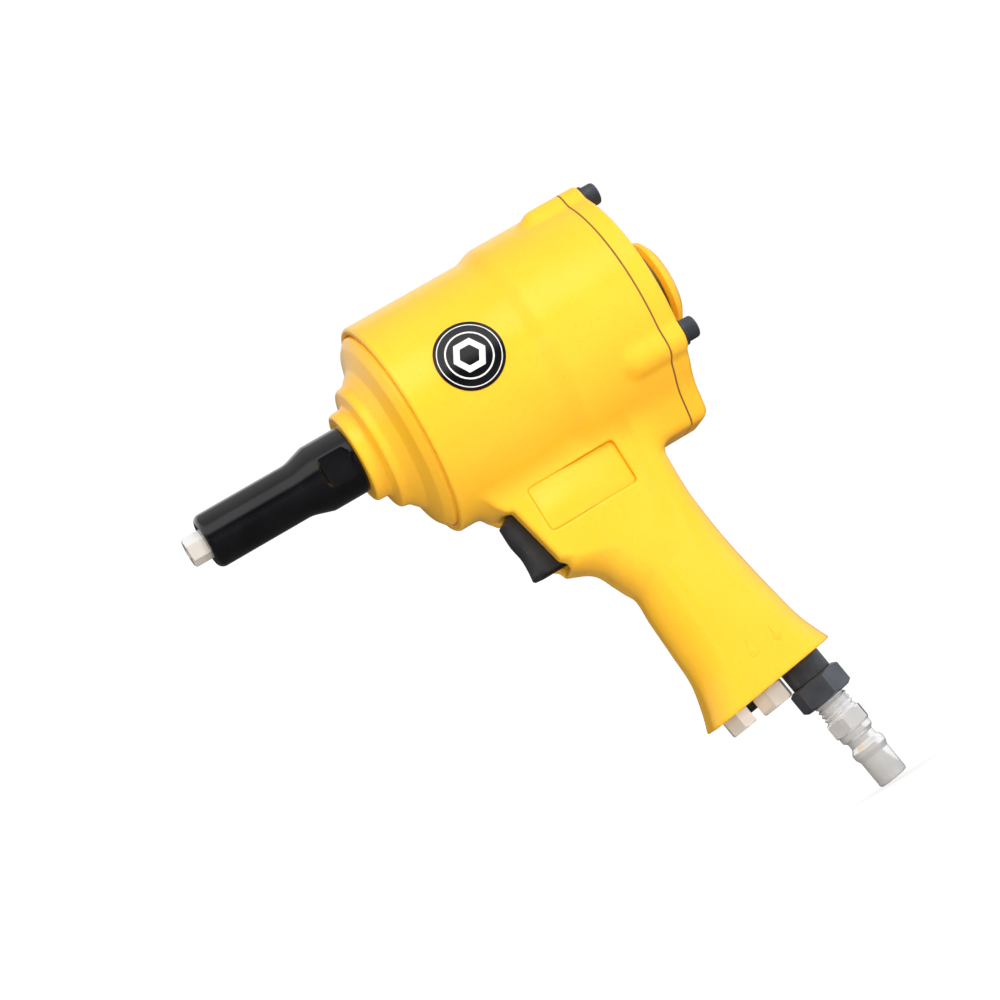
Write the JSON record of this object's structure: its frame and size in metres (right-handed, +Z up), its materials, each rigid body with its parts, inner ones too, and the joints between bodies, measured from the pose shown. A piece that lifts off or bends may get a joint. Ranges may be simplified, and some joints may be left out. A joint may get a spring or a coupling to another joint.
{
  "type": "pneumatic rivet gun",
  "caption": "Pistol-grip pneumatic rivet gun: horizontal twin-piston cylinder, steel nose with draw jaws, lever trigger, rear exhaust deflector and a hose plug under the grip.",
  "frame": {"origin": "mouth of the nosepiece on the barrel axis, where a rivet's mandrel enters", "axes": "+X out of the nose along the barrel axis, +Z up away from the grip, +Y to the tool's left side"},
  "size_m": [0.2042, 0.0892, 0.2442],
  "materials": {
    "enamel_yellow": "glossy enamel on cast aluminium",
    "gloss_black": "glossy black oxide and lacquer",
    "nickel": "nickel plate",
    "chrome": "bright chrome plate",
    "black_steel": "black oxide",
    "spring_steel": "bare spring steel",
    "trigger_plastic": "moulded, fine grain",
    "rubber": "nitrile",
    "gasket": "fibre gasket",
    "aluminium": "turned",
    "tool_steel": "ground",
    "brass": "turned",
    "sintered": "porous sintered bronze",
    "gauze": "fine wire gauze",
    "badge": "glossy print on aluminium foil"
  },
  "bodies": {
    "casing": {"main_casing": "enamel_yellow", "front_cap": "enamel_yellow", "rear_cover": "enamel_yellow", "nose_housing": "gloss_black", "nosepiece": "nickel", "passage_plug": "nickel", "oil_plug": "nickel", "air_plug": "chrome", "inlet_adapter": "black_steel", "cover_screws": "black_steel", "set_screw": "black_steel", "deflector_screw": "black_steel", "cover_washers": "spring_steel", "return_spring": "spring_steel", "valve_spring": "spring_steel", "partition_snap_ring": "spring_steel", "trigger_pin": "spring_steel", "front_cap_o_ring": "rubber", "rod_seal": "rubber", "partition_o_ring": "rubber", "spacer_seal": "rubber", "rear_gasket": "gasket", "partition": "aluminium", "valve_bushing": "brass", "exhaust_silencer": "sintered", "inlet_strainer": "gauze", "badge_plate": "badge"},
    "piston": {"draw_rod": "tool_steel", "front_piston": "aluminium", "front_piston_seal": "rubber", "piston_spacer": "tool_steel", "rear_piston": "aluminium", "rear_piston_seal": "rubber", "rod_nut": "tool_steel", "jaw_case": "tool_steel", "jaw_lock_nut": "tool_steel", "jaw_spring": "spring_steel"},
    "jaw_1": {"jaw_1": "tool_steel"},
    "jaw_2": {"jaw_2": "tool_steel"},
    "jaw_3": {"jaw_3": "tool_steel"},
    "pusher": {"jaw_pusher": "tool_steel"},
    "trigger": {"trigger": "trigger_plastic"},
    "valve": {"valve_stem": "brass"},
    "deflector": {"exhaust_deflector": "enamel_yellow"}
  },
  "joints": [
    {"name": "piston_stroke", "type": "slide", "parent": "casing", "child": "piston", "axis": [-1, 0, 0], "range_m": [0, 0.014], "stiffness_N_per_m": 2500, "springref_m": -0.01, "deforming": ["return_spring"]},
    {"name": "jaw_1_grip", "type": "slide", "parent": "piston", "child": "jaw_1", "axis": [0.9848, 0, -0.1736], "range_m": [0, 0.0014]},
    {"name": "jaw_2_grip", "type": "slide", "parent": "piston", "child": "jaw_2", "axis": [0.9848, 0.1504, 0.0868], "range_m": [0, 0.0014]},
    {"name": "jaw_3_grip", "type": "slide", "parent": "piston", "child": "jaw_3", "axis": [0.9848, -0.1504, 0.0868], "range_m": [0, 0.0014]},
    {"name": "pusher_slide", "type": "slide", "parent": "piston", "child": "pusher", "axis": [1, 0, 0], "range_m": [0, 0.0014], "deforming": ["jaw_spring"]},
    {"name": "trigger_pivot", "type": "hinge", "parent": "casing", "child": "trigger", "pos_m": [-0.109, 0, -0.0515], "axis": [0, 1, 0], "range_deg": [0, 12], "stiffness_Nm_per_rad": 0.05, "springref_deg": -17.19},
    {"name": "valve_slide", "type": "slide", "parent": "casing", "child": "valve", "axis": [-1, 0, 0], "range_m": [0, 0.0022], "deforming": ["valve_spring"]},
    {"name": "deflector_turn", "type": "hinge", "parent": "casing", "child": "deflector", "pos_m": [-0.2, 0, 0], "axis": [-1, 0, 0], "continuous": true}
  ],
  "couplings": [
    {"joint": "jaw_1_grip", "follows": "piston_stroke", "ratio": 0.0995},
    {"joint": "jaw_2_grip", "follows": "piston_stroke", "ratio": 0.0995},
    {"joint": "jaw_3_grip", "follows": "piston_stroke", "ratio": 0.0995},
    {"joint": "pusher_slide", "follows": "piston_stroke", "ratio": 0.09799},
    {"joint": "valve_slide", "follows": "trigger_pivot", "m_per_rad": 0.0103}
  ]
}
